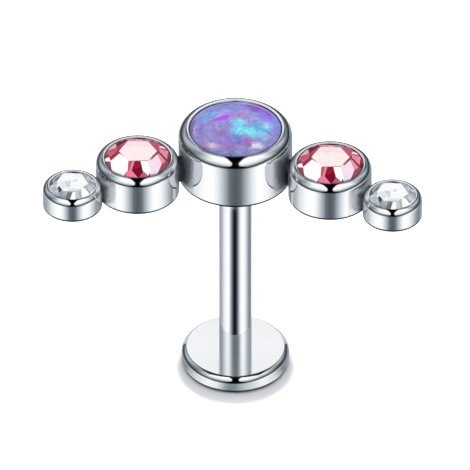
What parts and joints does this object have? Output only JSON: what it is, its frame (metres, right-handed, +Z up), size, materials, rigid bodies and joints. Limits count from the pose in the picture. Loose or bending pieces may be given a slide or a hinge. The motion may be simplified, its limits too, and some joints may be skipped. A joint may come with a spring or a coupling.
{
  "type": "labret stud",
  "caption": "Labret stud on its flat back disc: a straight post under a curved row of round bezels that hold an opal cabochon and pink and clear cut stones.",
  "frame": {"origin": "centre of the back disc's underside, on the surface that the stud stands on", "axes": "+Z up the post to the bezels, X along the row of bezels, whose ends bend towards -Y"},
  "size_m": [0.0139, 0.0054, 0.0113],
  "materials": {
    "steel": "mirror polished surgical steel",
    "opal": "polished synthetic opal, lavender and blue",
    "pink_crystal": "cut and polished, foiled behind",
    "clear_crystal": "cut and polished, foiled behind"
  },
  "bodies": {
    "root": {"labret_post": "steel", "bezel_cluster": "steel", "opal": "opal", "pink_stone_left": "pink_crystal", "pink_stone_right": "pink_crystal", "clear_stone_left": "clear_crystal", "clear_stone_right": "clear_crystal"}
  },
  "joints": []
}
